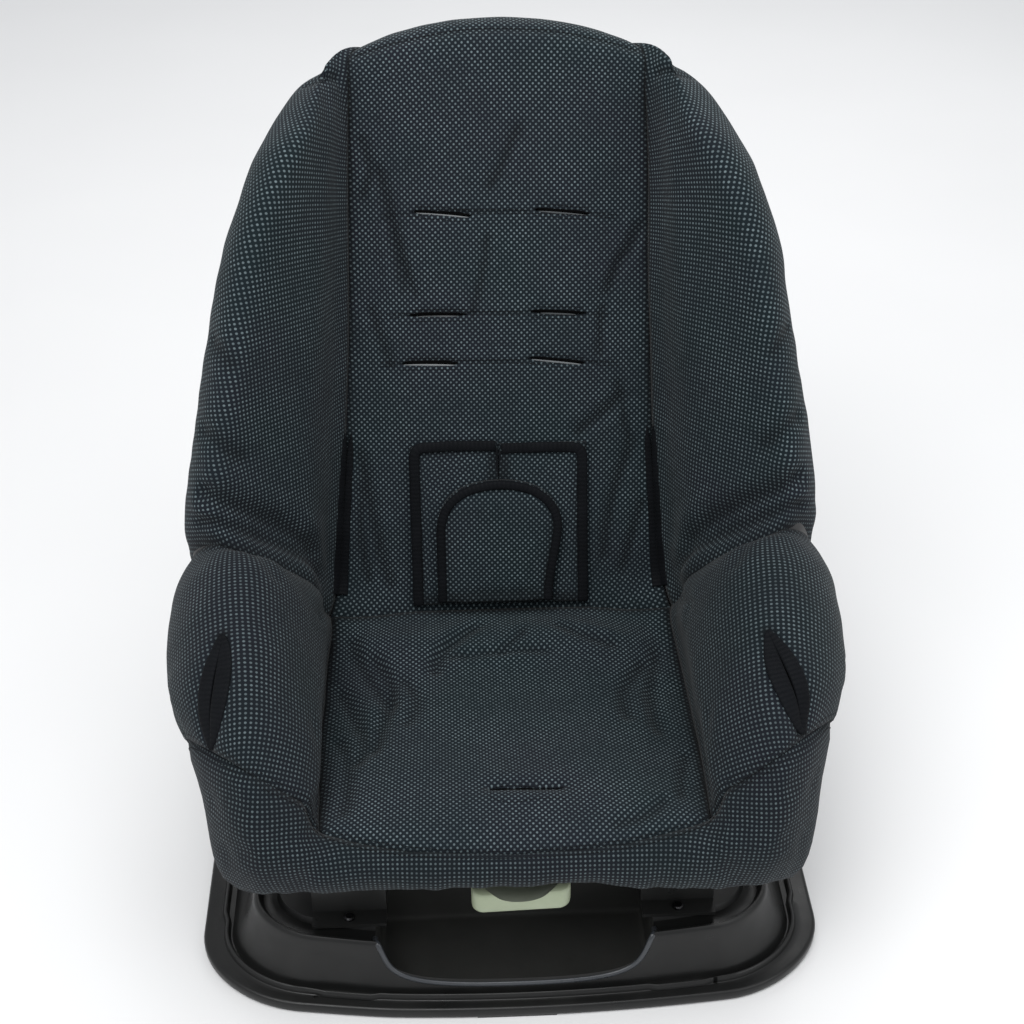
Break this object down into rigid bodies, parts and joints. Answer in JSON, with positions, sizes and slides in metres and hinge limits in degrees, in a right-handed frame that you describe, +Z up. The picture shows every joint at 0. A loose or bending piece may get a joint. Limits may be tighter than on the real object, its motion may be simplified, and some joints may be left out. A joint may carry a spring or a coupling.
{
  "type": "child car seat",
  "caption": "Padded bucket seat for a small child that rocks back on curved rails of a moulded tray base when the front lever is pulled.",
  "frame": {"origin": "on the ground under the middle of the whole seat, at its bounding box's bottom centre", "axes": "+Z up, -Y to the front, +X to the seated child's left, the recline's hinge axis along -X"},
  "size_m": [0.5, 0.5005, 0.5994],
  "materials": {
    "dotted_fabric": "black-blue weave with small pale dots",
    "black_binding": "matte black",
    "shell_plastic": "fine grained black",
    "base_plastic": "satin black with fine grain",
    "cream_plastic": "satin cream",
    "white_foam": "beaded foam",
    "zinc_steel": "zinc plated",
    "grip_rubber": "matte",
    "glide_nylon": "waxy grey"
  },
  "bodies": {
    "base": {"base_tray": "base_plastic", "recline_rail_left": "base_plastic", "recline_rail_right": "base_plastic", "notch_rack": "base_plastic", "grip_front": "grip_rubber", "grip_rear": "grip_rubber", "grip_left": "grip_rubber", "grip_right": "grip_rubber", "rail_screw_1": "zinc_steel", "rail_screw_2": "zinc_steel", "rail_screw_3": "zinc_steel", "rail_screw_4": "zinc_steel"},
    "seat": {"seat_shell": "shell_plastic", "latch_housing": "shell_plastic", "glide_left": "glide_nylon", "glide_right": "glide_nylon", "latch_spring": "zinc_steel", "cover_skirt": "dotted_fabric", "seat_pad": "dotted_fabric", "back_pad": "dotted_fabric", "arm_pad_left": "dotted_fabric", "arm_pad_right": "dotted_fabric", "wing_pad_left": "dotted_fabric", "wing_pad_right": "dotted_fabric", "head_foam_liner": "white_foam", "wing_foam_left": "white_foam", "wing_foam_right": "white_foam", "belt_guide_left": "black_binding", "belt_guide_right": "black_binding", "belt_flap_left": "dotted_fabric", "belt_flap_right": "dotted_fabric"},
    "crotch_pad": {"crotch_pad": "dotted_fabric"},
    "lever": {"recline_lever": "cream_plastic", "lever_arm_left": "zinc_steel", "lever_arm_right": "zinc_steel"},
    "bolt": {"latch_bolt": "zinc_steel", "latch_cross_pin": "zinc_steel"}
  },
  "joints": [
    {"name": "recline", "type": "hinge", "parent": "base", "child": "seat", "pos_m": [0, 0.015, 0.79], "axis": [-1, 0, 0], "range_deg": [0, 9]},
    {"name": "lever_pull", "type": "slide", "parent": "seat", "child": "lever", "axis": [0, -1, 0], "range_m": [0, 0.01], "stiffness_N_per_m": 250, "springref_m": -0.004},
    {"name": "bolt_lift", "type": "slide", "parent": "seat", "child": "bolt", "axis": [0, 0, 1], "range_m": [0, 0.008], "stiffness_N_per_m": 250, "springref_m": -0.004, "deforming": ["latch_spring"]},
    {"name": "crotch_pad_fold", "type": "hinge", "parent": "seat", "child": "crotch_pad", "pos_m": [0, 0.0463, 0.1785], "axis": [1, 0, 0], "range_deg": [0, 90]}
  ],
  "couplings": [
    {"joint": "bolt_lift", "follows": "lever_pull", "ratio": 0.8}
  ]
}
